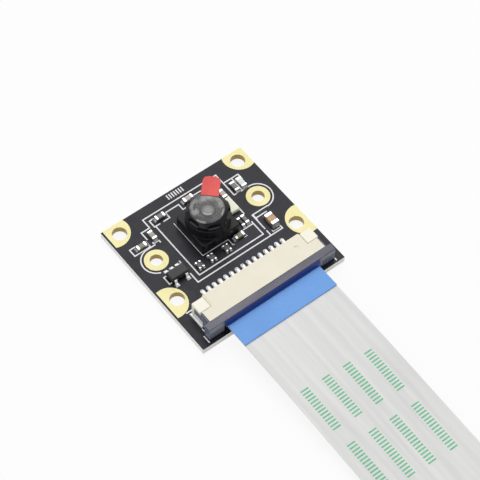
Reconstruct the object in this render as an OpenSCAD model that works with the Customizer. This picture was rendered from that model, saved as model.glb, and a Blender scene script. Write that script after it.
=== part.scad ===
// Board camera: a small lens module, a slide-lock ribbon connector and its
// flat cable on a square circuit board. +Z is the way the lens looks.
// The origin is the middle of the board's underside.

/* [Board] */
// Width of the circuit board, along X
board_w = 24.8; // [24:0.1:26]
// Length of the circuit board, along Y
board_l = 23.8; // [23:0.1:25]
// Thickness of the circuit board
board_t = 1.0; // [0.8:0.1:1.6]
// Distance from the board's middle to the middle of all that is mounted on it
layout_x = 0.15; // [0:0.05:0.3]

/* [Mounting holes] */
// Spacing of the corner holes along X
hole_pitch_x = 21; // [20:0.1:21.5]
// Spacing of the corner holes along Y
hole_pitch_y = 13.5; // [12.5:0.1:14]
// Height in Y of the rear pair of corner holes
hole_rear_y = 10.2; // [9.8:0.1:10.3]
// Radius of a corner hole
hole_r = 1.1; // [0.9:0.05:1.2]
// Radius of the gold pad round a corner hole
corner_pad_r = 2.57; // [2.3:0.01:2.7]
// Spacing of the two ring pads along X
ring_pitch = 18; // [17.5:0.1:18.5]
// Radius of the hole in a ring pad
ring_hole_r = 0.95; // [0.8:0.05:1.05]
// Outer radius of a ring pad
ring_pad_r = 1.75; // [1.6:0.05:1.8]

/* [Lens] */
// Height in Y of the lens axis and of the ring pads
lens_y = 3.54; // [3.4:0.01:3.7]
// Side of the square foot of the lens holder
holder_w = 6.5; // [6.4:0.1:6.7]
// Height of the holder's square foot above the board
holder_foot_h = 1.9; // [1.8:0.1:2.1]
// Radius of the holder's round neck
neck_r = 3.2; // [3.15:0.01:3.24]
// Height of the neck's rim above the board
neck_h = 3.6; // [3.5:0.1:3.7]
// Radius of the barrel where it turns in the neck
barrel_r = 2.85; // [2.8:0.01:2.88]
// Radius of the barrel's head
head_r = 3.15; // [3.1:0.01:3.2]
// Height of the top of the barrel above the board
head_h = 4.98; // [4.96:0.01:5.1]
// Number of key notches in the barrel's head
notch_count = 6; // [3:1:8]
// Turn of the red tab about the lens axis, in degrees
tab_turn = 46; // [0:1:359]

/* [Ribbon connector] */
// Number of contacts
contact_count = 15; // [10:1:15]
// Spacing of the contacts
contact_pitch = 1.0; // [0.9:0.05:1]
// Width of the housing
housing_w = 20.6; // [20.4:0.1:20.8]
// Height of the housing above the board
housing_h = 2.5; // [2.4:0.1:2.6]
// Width of the slide lock
slider_w = 21.9; // [21.6:0.1:22.2]

/* [Ribbon cable] */
// Width of the ribbon
ribbon_w = 16; // [15.8:0.1:16]
// Thickness of the ribbon's film
ribbon_t = 0.15; // [0.12:0.01:0.16]
// Thickness of the stiffener at each end
stiffener_t = 0.2; // [0.15:0.01:0.2]
// Length of the stiffener at each end
stiffener_l = 8; // [6:0.5:9]
// Distance from the board's middle to the middle of the ribbon
ribbon_x = 0.05; // [0:0.05:0.15]

/* [Hidden] */

black_mask = "#26262b";
gold = "#f2e08f";
ink = "#f7f7f7";
tin = "#c9ccd1";
black_plastic = "#1d1d20";
cream_plastic = "#efe9d4";
smoke = "#6e6c72";

top = board_t;                        // the board's upper face
edge = 0.01;                          // overrun of a cut past the face it opens
fit = 0.05;                           // running clearance beside a moving piece
copper = 0.035;                       // thickness of a gold pad
ink_t = 0.03;                         // thickness of the white ink
ink_w = 0.19;                         // width of a white line
thin_ink_w = 0.09;                    // width of the lines at the lens holder
left_margin = 0.3;                    // bare strip at the board's left edge
plate = 0.04;                         // wall of the plating in a hole

holes = [for (x = [-1, 1], y = [0, 1]) [layout_x + x * hole_pitch_x / 2, hole_rear_y - y * hole_pitch_y]];
rings = [for (x = [-1, 1]) [layout_x + x * ring_pitch / 2, lens_y]];

// --- circuit board ------------------------------------------------------

// Outline of the gold pad round one corner hole: it leans outwards to the
// nearest board edge and is cut off there.
module corner_pad_outline(hole, grow) {
    side = hole[0] < 0 ? -1 : 1;
    rear = hole[1] > 0;
    shift = rear ? [0.7 * side, 0.7] : [1.2 * side, 0];
    left = -board_w / 2 + left_margin - grow;
    intersection() {
        translate(hole + shift) circle(r = corner_pad_r + grow, $fn = 96);
        translate([left, -board_l / 2]) square([board_w / 2 - left, board_l]);
    }
}

module corner_plating(hole) {
    translate([0, 0, top]) linear_extrude(copper) corner_pad_outline(hole, 0);
    linear_extrude(copper) corner_pad_outline(hole, 0);
    translate([hole[0], hole[1], 0]) cylinder(r = hole_r + plate, h = top + copper, $fn = 64);
}

module corner_pads() color(gold)
    for (hole = holes)
        difference() {
            corner_plating(hole);
            translate([hole[0], hole[1], -1]) cylinder(r = hole_r, h = top + 2, $fn = 64);
        }

module ring_plating(ring) {
    translate([ring[0], ring[1], top]) cylinder(r = ring_pad_r, h = copper, $fn = 64);
    translate([ring[0], ring[1], 0]) cylinder(r = ring_pad_r, h = copper, $fn = 64);
    translate([ring[0], ring[1], 0]) cylinder(r = ring_hole_r + plate, h = top + copper, $fn = 64);
}

module ring_pads() color(gold)
    for (ring = rings)
        difference() {
            ring_plating(ring);
            translate([ring[0], ring[1], -1]) cylinder(r = ring_hole_r, h = top + 2, $fn = 64);
        }

// The board's holes are drilled a hair wider than their plating, and its
// underside is relieved by the thickness of the pads there.
module circuit_board() color(black_mask)
    difference() {
        translate([-board_w / 2, -board_l / 2, 0]) cube([board_w, board_l, board_t]);
        for (hole = holes) {
            translate([hole[0], hole[1], -1]) cylinder(r = hole_r + plate + 0.01, h = top + 2, $fn = 64);
            translate([0, 0, -1]) linear_extrude(1 + copper) corner_pad_outline(hole, 0.01);
        }
        for (ring = rings) {
            translate([ring[0], ring[1], -1]) cylinder(r = ring_hole_r + plate + 0.01, h = top + 2, $fn = 64);
            translate([ring[0], ring[1], -1]) cylinder(r = ring_pad_r + 0.01, h = 1 + copper, $fn = 64);
        }
    }

// --- white legend -------------------------------------------------------

// A printed stroke from a to b along X or Y, w wide.
module stroke(a, b, w)
    translate([min(a[0], b[0]) - w / 2, min(a[1], b[1]) - w / 2])
        square([abs(a[0] - b[0]) + w, abs(a[1] - b[1]) + w]);

// Strokes that join up through a list of corner points.
module strokes(points, w = ink_w)
    for (i = [1:len(points) - 1]) stroke(points[i - 1], points[i], w);

// A printed arc about a ring pad, from one angle to another.
module ring_arc(ring, from, to) {
    turns = [for (i = [0:24]) from + (to - from) * i / 24];
    outer = [for (turn = turns) (arc_r + ink_w / 2) * [cos(turn), sin(turn)]];
    inner = [for (turn = turns) (arc_r - ink_w / 2) * [cos(turn), sin(turn)]];
    translate(ring) polygon(concat(outer, [for (i = [24:-1:0]) inner[i]]));
}

frame_left = -6.4;                    // the two printed frames round the lens
frame_right = 6.55;
frame_rear = 10.1;
frame_front = -2.85;
inner_left = -5.55;
inner_right = 5.7;
inner_front = -2.02;
inner_rear = 9.2;
arc_r = 2.16;                         // printed arcs round the ring pads

module printed_lines() {
    // outer frame and its steps round the parts beside it
    strokes([[-7.85, 7.1], [-7.85, 8.45], [frame_left, 8.45], [frame_left, frame_rear],
             [frame_right, frame_rear], [frame_right, 5.75], [7.0, 5.75]]);
    strokes([[-7.5, 6.2], [-7.5, 5.99], [-6.6, 5.99], [-6.6, 5.65]]);
    strokes([[frame_left, 1.45], [frame_left, 0.9]]);
    strokes([[frame_left, -1.1], [frame_left, frame_front], [8.5, frame_front], [8.5, -1.6]]);
    strokes([[9.15, 1.45], [7.75, 1.45]]);
    strokes([[7.55, 1.45], [6.45, 1.45], [6.45, -1.4]]);
    strokes([[6.5, 1.4], [6.5, 0.5]], 0.3);
    strokes([[7.1, -2.25], [7.1, -2.52], [8.25, -2.52]], 0.12);
    strokes([[6.75, 0.75], [8.4, 0.75]]);
    strokes([[6.45, -1.9], [6.45, frame_front]]);
    // inner frame
    strokes([[inner_left, 8.1], [inner_left, inner_front], [inner_right, inner_front], [inner_right, 0.6]]);
    strokes([[inner_right, 2.4], [inner_right, 7.4]]);
    strokes([[4.0, 0.25], [inner_right, 0.25]]);
    strokes([[-3.15, inner_rear], [-0.75, inner_rear], [-0.75, 8.15], [-0.3, 8.15]]);
    strokes([[1.85, inner_rear], [3.1, inner_rear]]);
    strokes([[-5.1, 9.4], [-5.75, 9.4], [-5.75, 8.15], [-4.85, 8.15]]);
    strokes([[-4.1, 8.15], [-3.1, 8.15], [-3.1, 9.2]]);
    // foot of the lens holder
    strokes([[-3.24, 7.0], [-3.24, 0.23], [1.2, 0.23], [1.2, -0.9], [1.45, -0.9]], thin_ink_w);
    strokes([[3.75, 0.2], [3.75, -0.85], [3.3, -0.85]], thin_ink_w);
    // part to the left of the lens
    strokes([[-10.0, 7.1], [-10.85, 7.1], [-10.85, 5.85], [-8.2, 5.85], [-8.2, 6.9]]);
    // pair of parts at the rear right
    strokes([[frame_right, 8.3], [9.2, 8.3], [9.2, 7.3]]);
    strokes([[8.0, 8.3], [8.0, 5.9]]);
    // arcs round the ring pads, with their straight tails
    strokes([[-7.5, lens_y + arc_r], [rings[0][0], lens_y + arc_r]]);
    ring_arc(rings[0], 90, 251);
    strokes([[7.75, lens_y + arc_r], [rings[1][0], lens_y + arc_r]]);
    ring_arc(rings[1], -90, 90);
    // regulator bracket
    strokes([[-9.4, 0.6], [-9.75, 0.6], [-9.75, -0.75], [-9.4, -0.75]]);
    // ticks beside the connector
    strokes([[-11.02, -10.3], [-11.02, -11.4]]);
    strokes([[-10.5, -9.25], [-10.5, -9.65]]);
    strokes([[11.15, -11.3], [11.15, -11.55]]);
    strokes([[-10.7, -5.9], [-9.9, -5.9]]);
}

// The ink keeps off every pad.
module legend() color(ink)
    translate([0, 0, top]) linear_extrude(ink_t)
        difference() {
            printed_lines();
            for (pad = pads) pad_outline(pad, 0.06);
        }

// --- chip parts ---------------------------------------------------------

// A chip part is [x, y, length, width, height, length of an end, turned].
// A turned one lies along Y.
capacitors = [
    [-4.2, 9.0, 1.5, 0.75, 0.5, 0.33, false],
    [0.8, 9.05, 1.6, 0.8, 0.55, 0.36, false],
    [-6.95, 7.1, 1.5, 0.75, 0.5, 0.33, true],
    [-9.25, 6.5, 1.5, 0.75, 0.5, 0.33, false],
    [5.2, 6.75, 1.5, 0.75, 0.5, 0.36, true],
    [5.1, 1.45, 1.5, 0.6, 0.4, 0.33, true],
    [2.75, -0.3, 1.5, 0.75, 0.5, 0.33, false],
    [8.0, -0.95, 2.0, 1.2, 0.8, 0.5, true]
];
resistors = [
    [7.4, 6.8, 1.6, 0.75, 0.4, 0.3, true],
    [4.35, 1.4, 1.5, 0.5, 0.35, 0.3, true]
];
lamp = [8.6, 6.8, 1.7, 0.85, 0.5, 0.32, true];
arrays = [for (x = [-4.6, -2.5, 0.1]) [x, -0.85]];
array_w = 0.9;
array_l = 1.25;
array_h = 0.4;

module chip_place(chip)
    translate([chip[0], chip[1], top + copper]) rotate([0, 0, chip[6] ? 90 : 0]) children();

// The ceramic between and inside the two metal ends.
module chip_body(chip)
    chip_place(chip)
        translate([chip[5] - chip[2] / 2, 0.02 - chip[3] / 2, 0.01])
            cube([chip[2] - 2 * chip[5], chip[3] - 0.04, chip[4] - 0.03]);

module chip_ends(chip)
    chip_place(chip)
        for (side = [0, 1]) mirror([side, 0, 0])
            translate([chip[2] / 2 - chip[5], -chip[3] / 2, 0]) cube([chip[5], chip[3], chip[4]]);

module capacitor(i, tone) color(tone) chip_body(capacitors[i - 1]);
module capacitor_1() capacitor(1, "#77746f");
module capacitor_2() capacitor(2, "#b89e90");
module capacitor_3() capacitor(3, "#9a8b7c");
module capacitor_4() capacitor(4, "#77765c");
module capacitor_5() capacitor(5, "#a89088");
module capacitor_6() capacitor(6, "#8c8c8c");
module capacitor_7() capacitor(7, "#77765c");
module capacitor_8() capacitor(8, "#b98d63");
module capacitor_ends() color(tin) for (chip = capacitors) chip_ends(chip);

module resistor_1() color("#4c4c4c") chip_body(resistors[0]);
module resistor_2() color("#1f1f1f") chip_body(resistors[1]);
module resistor_ends() color(tin) for (chip = resistors) chip_ends(chip);

module status_lamp() color("#d9dde0") chip_body(lamp);
module lamp_ends() color(tin) chip_ends(lamp);

// Ceramic filter with a metal terminal at each corner.
array_end = [0.3, 0.3];
module array_part(i) color("#5a5350")
    translate([arrays[i - 1][0], arrays[i - 1][1], top + copper])
        difference() {
            translate([-array_w / 2, -array_l / 2, 0.01]) cube([array_w, array_l, array_h - 0.02]);
            for (x = [0, 1], y = [0, 1]) mirror([x, 0, 0]) mirror([0, y, 0])
                translate([array_w / 2 - array_end[0], array_l / 2 - array_end[1], -1])
                    cube([array_end[0] + 1, array_end[1] + 1, 3]);
        }
module array_1() array_part(1);
module array_2() array_part(2);
module array_3() array_part(3);
module array_ends() color(tin)
    for (place = arrays) translate([place[0], place[1], top + copper])
        for (x = [0, 1], y = [0, 1]) mirror([x, 0, 0]) mirror([0, y, 0])
            translate([array_w / 2 - array_end[0], array_l / 2 - array_end[1], 0])
                cube([array_end[0], array_end[1], array_h]);

// Ceramic oscillator package with a raised lid.
oscillator_place = [4.84, 4.45];
oscillator_size = [1.45, 2.55, 0.6];
module oscillator() color("#efe8c4")
    translate([oscillator_place[0], oscillator_place[1], top + copper]) {
        translate([-oscillator_size[0] / 2, -oscillator_size[1] / 2, 0]) cube(oscillator_size);
        translate([0.12 - oscillator_size[0] / 2, 0.12 - oscillator_size[1] / 2, oscillator_size[2] - edge])
            cube([oscillator_size[0] - 0.24, oscillator_size[1] - 0.24, 0.08]);
    }

// --- voltage regulator --------------------------------------------------

regulator_place = [-8.0, -0.2];
regulator_l = 2.9;
regulator_w = 1.6;
regulator_h = 1.1;
lead_pitch = 0.95;
lead_w = 0.4;
lead_t = 0.13;
lead_z = 0.5;                         // a lead's height where it leaves the body
lead_reach = 1.4;                     // a lead's tip, from the body's middle

module regulator_body() color(black_plastic)
    translate([regulator_place[0], regulator_place[1], top + copper + 0.05])
        intersection() {
            translate([-regulator_l / 2, 0, 0]) rotate([90, 0, 90]) linear_extrude(regulator_l)
                polygon([[-0.72, 0], [0.72, 0], [0.8, 0.5], [0.8, 0.62], [0.7, 1.05], [-0.7, 1.05],
                         [-0.8, 0.62], [-0.8, 0.5]]);
            translate([0, regulator_w, 0]) rotate([90, 0, 0]) linear_extrude(2 * regulator_w)
                polygon([[-1.37, 0], [1.37, 0], [1.45, 0.5], [1.45, 0.62], [1.36, 1.05], [-1.36, 1.05],
                         [-1.45, 0.62], [-1.45, 0.5]]);
        }

// Gull-wing lead: out of the body, down to the board and along it.
module regulator_lead(x, side)
    mirror([0, side, 0]) translate([x - lead_w / 2, 0, 0]) rotate([90, 0, 90]) linear_extrude(lead_w)
        polygon([[0.8, 0.55], [0.8, 0.55 + lead_t], [0.98, 0.55 + lead_t], [1.16, lead_t],
                 [lead_reach, lead_t], [lead_reach, 0], [1.07, 0], [0.9, 0.55]]);

module regulator_leads() color(tin)
    translate([regulator_place[0], regulator_place[1], top + copper]) {
        for (i = [-1, 0, 1]) regulator_lead(i * lead_pitch, 0);
        for (i = [-1, 1]) regulator_lead(i * lead_pitch, 1);
    }

// --- solder -------------------------------------------------------------

pad_margin = 0.28;                    // a chip's pad reaches this far past its end
tail_tip_y = -4.45;                   // tip of a contact's tail
pad_tip_y = -4.1;                     // tip of the pad under it
pad_w = 0.62;
anchor_y = -7.65;                     // middle of a side anchor's foot
anchor_l = 2.6;
anchor_reach = 0.32;                  // an anchor's foot, out from the housing

// Every square pad as [x, y, width along X, length along Y].
pads = concat(
    [for (chip = concat(capacitors, resistors, [lamp]), side = [-1, 1])
        let (shift = side * (chip[2] + pad_margin - chip[5]) / 2,
             l = chip[5] + pad_margin, w = chip[3] - 0.04)
        chip[6] ? [chip[0], chip[1] + shift, w, l] : [chip[0] + shift, chip[1], l, w]],
    [for (place = arrays, x = [-1, 1], y = [-1, 1]) [place[0] + 0.3 * x, place[1] + 0.5 * y, 0.34, 0.46]],
    [for (i = [-1, 0, 1]) [regulator_place[0] + i * lead_pitch, regulator_place[1] + 1.3, 0.6, 0.6]],
    [for (i = [-1, 1]) [regulator_place[0] + i * lead_pitch, regulator_place[1] - 1.3, 0.6, 0.6]],
    [for (x = [-1, 1], y = [-1, 1])
        [oscillator_place[0] + 0.35 * x, oscillator_place[1] + 0.85 * y, 0.5, 0.75]],
    [for (side = [-1, 1]) [layout_x + side * (housing_w / 2 + 0.2), anchor_y, 0.36, anchor_l + 0.2]]
);

module pad_outline(pad, grow)
    translate([pad[0] - pad[2] / 2 - grow, pad[1] - pad[3] / 2 - grow])
        square([pad[2] + 2 * grow, pad[3] + 2 * grow]);

// Solder that slopes up the metal ends of a chip.
module chip_solder(chip)
    chip_place(chip)
        for (side = [0, 1]) mirror([side, 0, 0])
            translate([chip[2] / 2, chip[3] / 2 - 0.05, 0]) rotate([90, 0, 0]) linear_extrude(chip[3] - 0.1)
                polygon([[0, 0], [pad_margin, 0], [0.1, 0.35 * chip[4]], [0, 0.8 * chip[4]]]);

module tail_pad(x)
    translate([x, 0, top]) {
        translate([-pad_w / 2, -6, 0]) cube([pad_w, pad_tip_y - pad_w / 2 + 6, copper]);
        translate([0, pad_tip_y - pad_w / 2, 0]) cylinder(r = pad_w / 2, h = copper, $fn = 32);
    }

module solder_joints() color(tin) {
    for (pad = pads) translate([0, 0, top]) linear_extrude(copper) pad_outline(pad, 0);
    for (chip = concat(capacitors, resistors, [lamp])) chip_solder(chip);
    for (x = contact_x) tail_pad(x);
}

// --- image sensor and lens ----------------------------------------------

sensor_w = 5.1;
sensor_h = 0.45;                      // height of the sensor above the board
sensor_glass_h = 0.3;
filter_w = 4.7;
filter_t = 0.2;
ledge = 1.05;                         // underside of the ledge in the holder
ledge_t = 0.45;
window_w = 3.8;
cavity_w = 5.7;

module lens_at(z) translate([layout_x, lens_y, z]) children();
module centred_square(w, z, h)
    lens_at(z) translate([-w / 2, -w / 2, 0]) cube([w, w, h]);

module image_sensor() color("#2c4a45") centred_square(sensor_w, top, sensor_h);
module sensor_glass() color("#9fb3ad") centred_square(sensor_w - 0.4, top + sensor_h, sensor_glass_h);
module infrared_filter() color("#7fb7c9") centred_square(filter_w, top + ledge - filter_t, filter_t);

// Square foot with cut corners, chamfered round its upper edge.
module foot_outline(w, corner)
    polygon([[-w / 2 + corner, -w / 2], [w / 2 - corner, -w / 2], [w / 2, -w / 2 + corner],
             [w / 2, w / 2 - corner], [w / 2 - corner, w / 2], [-w / 2 + corner, w / 2],
             [-w / 2, w / 2 - corner], [-w / 2, -w / 2 + corner]]);

module lens_holder() color(black_plastic)
    difference() {
        lens_at(top) {
            hull() {
                linear_extrude(holder_foot_h - 0.12) foot_outline(holder_w, 0.3);
                linear_extrude(holder_foot_h) foot_outline(holder_w - 0.24, 0.3);
            }
            rotate_extrude($fn = 96)
                polygon([[0, holder_foot_h - 0.2], [neck_r + 0.04, holder_foot_h - 0.2],
                         [neck_r + 0.04, holder_foot_h], [neck_r, holder_foot_h + 0.1],
                         [neck_r, neck_h - 0.12], [neck_r - 0.1, neck_h], [0, neck_h]]);
        }
        centred_square(cavity_w, top - 1, 1 + ledge);
        centred_square(window_w, top, ledge + ledge_t + edge);
        lens_at(top + ledge + ledge_t) cylinder(r = barrel_r + fit, h = neck_h, $fn = 96);
    }

// The barrel's section: a plain shank that turns in the neck, a head with a
// sloping shoulder, and a bore stepped for the lenses behind the front stop.
barrel_foot = 1.65;                   // underside of the barrel above the board
head_foot = neck_h + 0.15;
shoulder_h = 4.4;
rim_r = 2.52;
bore_r = 2.35;
front_bore_r = 1.75;
stop_r = 0.95;
stop_h = 4.2;
module barrel_section()
    polygon([[bore_r, barrel_foot], [barrel_r, barrel_foot], [barrel_r, head_foot - 0.1],
             [barrel_r - 0.1, head_foot], [head_r - 0.08, head_foot], [head_r, head_foot + 0.08],
             [head_r, shoulder_h], [rim_r, head_h - 0.06], [rim_r - 0.06, head_h],
             [2.2, head_h], [2.1, head_h - 0.1], [1.35, stop_h + 0.38], [1.3, stop_h + 0.25],
             [stop_r, stop_h + 0.2], [stop_r, stop_h],
             [front_bore_r, stop_h], [front_bore_r, 3.6], [bore_r, 3.6]]);

notch_turn = 10.5;                    // turn of the first key notch
notch_w = 1.75;
notch_depth = 0.4;
module lens_barrel() color(black_plastic)
    lens_at(top) difference() {
        rotate_extrude($fn = 96) barrel_section();
        for (i = [0:notch_count - 1]) rotate([0, 0, notch_turn + i * 360 / notch_count])
            translate([head_r - notch_depth, -notch_w / 2, head_foot + 0.35])
                cube([1, notch_w, 1]);
    }

// Points of a lens face from the axis out to r, bulging by sag at the axis.
function lens_face(r, z, sag) = [for (i = [0:8]) [r * i / 8, z + sag * (1 - (i / 8) * (i / 8))]];
function flip(points) = [for (i = [len(points) - 1:-1:0]) points[i]];

module turned_lens(lower, upper)
    lens_at(top) rotate_extrude($fn = 64) polygon(concat(lower, flip(upper)));

module front_lens() color("#3d3a45")
    turned_lens(concat(lens_face(1.2, 3.8, -0.1), [[1.73, 3.8]]),
                concat(lens_face(0.93, 4.18, 0.22), [[1.73, 4.18]]));
module middle_lens() color("#4a4a55")
    turned_lens(concat(lens_face(1.5, 3.05, 0.25), [[2.33, 3.05]]),
                concat(lens_face(1.5, 3.58, 0.12), [[2.33, 3.45]]));
module rear_lens() color("#4a4a55")
    turned_lens(concat(lens_face(1.7, 2.25, 0.2), [[2.33, 2.25]]),
                concat(lens_face(1.4, 2.75, -0.15), [[2.33, 2.85]]));

module turned_ring(inner, outer, z, h)
    lens_at(top + z) difference() {
        cylinder(r = outer, h = h, $fn = 64);
        translate([0, 0, -1]) cylinder(r = inner, h = h + 2, $fn = 64);
    }
module lens_spacer() color(black_plastic) turned_ring(1.8, 2.33, 2.85, 0.2);
module lens_retainer() color(black_plastic) turned_ring(1.75, 2.33, 1.75, 0.5);

film_r = 2.44;
film_t = 0.05;
module protective_film() color("#7c7c78", 0.8)
    lens_at(top + head_h) cylinder(r = film_r, h = film_t, $fn = 64);

// The tab lies on the film and stands out past its edge.
tab_w = 2.55;
tab_start = 1.97;
tab_end = 5.27;
tab_t = 0.12;
tab_corner = 0.75;
module pull_tab() color("#e85a5c")
    lens_at(top + head_h + film_t) rotate([0, 0, tab_turn]) linear_extrude(tab_t)
        polygon([[tab_start, -tab_w / 2], [tab_end - tab_corner, -tab_w / 2],
                 [tab_end - 0.22, -tab_w / 2 + 0.22], [tab_end, -tab_w / 2 + tab_corner],
                 [tab_end, tab_w / 2 - tab_corner], [tab_end - 0.22, tab_w / 2 - 0.22],
                 [tab_end - tab_corner, tab_w / 2], [tab_start, tab_w / 2]]);

// --- ribbon connector ---------------------------------------------------

contact_x = [for (i = [0:contact_count - 1]) layout_x + (i - (contact_count - 1) / 2) * contact_pitch];
housing_rear = -6.1;
housing_front = -10.03;
floor_front = -10.6;                  // the housing's floor runs on under the slide lock
slot_w = 16.4;
slot_rear = -7.2;
slot_low = 0.7;                       // heights of the ribbon slot above the board
slot_high = 1.9;
channel_w = 0.34;
channel_low = 0.12;
channel_front = -9.7;
arm_w = 0.2;                          // side arms of the slide lock
arm_low = 0.3;
arm_high = 2.4;
arm_under_ear = 1.95;
arm_rear = -6.9;
groove = 0.12;
ear_w = 1.8;                          // corner blocks marked off by the grooves
ear_l = 2.05;
ear_back = 0.22;

// A block from x0..x1, y0..y1 and z0..z1, with heights from the board's face.
module block(x, y, z)
    translate([x[0], y[0], top + z[0]]) cube([x[1] - x[0], y[1] - y[0], z[1] - z[0]]);

// The same on both sides of the connector's middle, s counted outwards.
module both_sides(s, y, z)
    translate([layout_x, 0, 0]) for (side = [0, 1]) mirror([side, 0, 0]) block(s, y, z);

module ear_grooves()
    translate([layout_x, 0, 0]) for (side = [0, 1]) mirror([side, 0, 0]) {
        block([housing_w / 2 - ear_w - groove, housing_w / 2 - ear_w],
              [housing_rear - ear_l - groove, housing_rear + edge], [housing_h - 0.35, housing_h + 1]);
        block([housing_w / 2 - ear_w - groove, housing_w / 2 + edge],
              [housing_rear - ear_l - groove, housing_rear - ear_l], [housing_h - 0.35, housing_h + 1]);
        // the ear's rear face stands a little forward
        block([housing_w / 2 - ear_w, housing_w / 2 + edge],
              [housing_rear - ear_back, housing_rear + edge], [-edge, housing_h + 1]);
        // shallow valley in the top beside the ear
        block([housing_w / 2 - ear_w - 0.36, housing_w / 2 - ear_w - groove + edge],
              [housing_rear - ear_l - groove, housing_rear + edge], [housing_h - 0.06, housing_h + 1]);
    }

// The same, across the connector's middle and w wide.
module middle_block(w, y, z) block([layout_x - w / 2, layout_x + w / 2], y, z);

// The way of one contact through the housing, open at the rear face.
module contact_channel(x) {
    across = [x - channel_w / 2, x + channel_w / 2];
    block(across, [channel_front, slot_rear + edge], [channel_low, slot_low + edge]);
    block(across, [slot_rear, housing_rear + edge], [channel_low, 0.55]);
    block(across, [housing_rear - 0.3, housing_rear + edge], [-edge, housing_h - 0.6]);
}

module connector_housing() color(cream_plastic)
    difference() {
        union() {
            middle_block(housing_w, [housing_front, housing_rear], [0, housing_h]);
            middle_block(slot_w, [floor_front, housing_front + edge], [0, slot_low]);
        }
        middle_block(slot_w, [housing_front - 2, slot_rear], [slot_low, slot_high]);
        for (x = contact_x) contact_channel(x);
        ear_grooves();
        // the flanks' guides for the slide lock's arms, open upwards before the ears
        both_sides([housing_w / 2 - arm_w - 2 * fit, housing_w / 2 + edge],
                   [housing_front - edge, arm_rear + 0.1], [arm_low - fit, arm_under_ear + fit]);
        both_sides([housing_w / 2 - arm_w - 2 * fit, housing_w / 2 + edge],
                   [housing_front - edge, housing_rear - ear_l - groove], [arm_low - fit, housing_h + 1]);
        // ejector mark
        translate([6.8, -7.8, top + housing_h - 0.1]) cylinder(r = 0.32, h = 1, $fn = 32);
    }

// Slide lock: a bar across the mouth, an ear at each end, side arms that run
// in the housing's flanks and a tongue that presses the ribbon down.
slider_front = -11.2;
slider_rear = housing_front - 0.03;
slider_h = 2.42;
bar_low = 1.4;
lip_front = -11.56;                   // the bar's lower lip, over the ribbon
lip_half = 8.4;
tongue_rear = -8.3;
module along_x(from, to)
    translate([from, 0, top]) rotate([90, 0, 90]) linear_extrude(to - from) children();
module connector_slider() color(smoke) {
    translate([layout_x, 0, 0]) {
        along_x(-lip_half, lip_half)
            polygon([[slider_rear, bar_low], [slider_rear, slider_h], [slider_front + 0.08, slider_h],
                     [slider_front, slider_h - 0.07], [lip_front + 0.12, bar_low + 0.45],
                     [lip_front, bar_low + 0.05], [lip_front, bar_low]]);
        for (side = [0, 1]) mirror([side, 0, 0]) {
            along_x(lip_half - edge, slider_w / 2)
                polygon([[slider_rear, 0.05], [slider_rear, slider_h], [slider_front + 0.08, slider_h],
                         [slider_front, slider_h - 0.07], [slider_front, 0.05]]);
            along_x(housing_w / 2 - arm_w - fit, housing_w / 2 - fit)
                polygon([[slider_rear - edge, arm_low], [arm_rear, arm_low], [arm_rear, arm_under_ear],
                         [housing_rear - ear_l - groove - fit, arm_under_ear],
                         [housing_rear - ear_l - groove - fit, arm_high], [slider_rear - edge, arm_high]]);
        }
    }
    middle_block(slot_w - 0.24, [slider_rear - edge, tongue_rear], [bar_low, slot_high - fit]);
}

// Spring contact: a tail on the board, a base in the housing's channel and
// an arm that rises under the ribbon.
contact_w = 0.3;
module contact_section()
    polygon([[tail_tip_y, copper], [tail_tip_y, 0.2], [-5.5, 0.2], [-5.68, 0.42], [-6.9, 0.42],
             [-7.6, 0.62], [-8.75, 0.92], [-9.0, 0.955], [-9.25, 0.92], [-9.5, 0.7], [-9.4, 0.64],
             [-9.15, 0.78], [-8.9, 0.8], [-7.6, 0.46], [-7.0, 0.22], [-5.95, 0.22], [-5.72, copper]]);
module connector_contacts() color(tin)
    for (x = contact_x) along_x(x - contact_w / 2, x + contact_w / 2) contact_section();

upright_short = 0.8;                  // an anchor's upright is this much shorter than its foot

// Metal anchor at each side: a foot along the housing that is soldered to
// the board, and an upright that keeps the slide lock's arm in.
module connector_anchors() color(tin)
    translate([layout_x, 0, 0]) for (side = [0, 1]) mirror([side, 0, 0]) {
        block([housing_w / 2, housing_w / 2 + anchor_reach],
              [anchor_y - anchor_l / 2, anchor_y + anchor_l / 2], [copper, 0.17]);
        block([housing_w / 2, housing_w / 2 + 0.12],
              [anchor_y - anchor_l / 2, anchor_y + anchor_l / 2 - upright_short], [0.17 - edge, 1.0]);
    }

// --- ribbon cable -------------------------------------------------------

// Route of the middle of the ribbon's film as [y, z]: straight out of the
// connector, then down in a long easy curve to lie along the table.
ribbon_route = [
    [-7.3, 2.075], [-10, 2.075], [-13, 2.075], [-15.5, 2.075], [-18, 2.06], [-21, 2.0], [-25, 1.86],
    [-30, 1.62], [-35, 1.36], [-40, 1.1], [-45, 0.86], [-50, 0.65], [-55, 0.47], [-60, 0.33],
    [-66, 0.21], [-72, 0.14], [-78, 0.11], [-85, 0.1], [-100, 0.1], [-115, 0.1], [-130, 0.1],
    [-145, 0.1], [-157.3, 0.1]
];

// Flat bar section with small cut corners, counted round from its lower left.
bar_cut = 0.04;
ribbon_section = [
    [-ribbon_w / 2 + bar_cut, -ribbon_t / 2], [ribbon_w / 2 - bar_cut, -ribbon_t / 2],
    [ribbon_w / 2, -ribbon_t / 2 + bar_cut], [ribbon_w / 2, ribbon_t / 2 - bar_cut],
    [ribbon_w / 2 - bar_cut, ribbon_t / 2], [-ribbon_w / 2 + bar_cut, ribbon_t / 2],
    [-ribbon_w / 2, ribbon_t / 2 - bar_cut], [-ribbon_w / 2, -ribbon_t / 2 + bar_cut]
];

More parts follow.
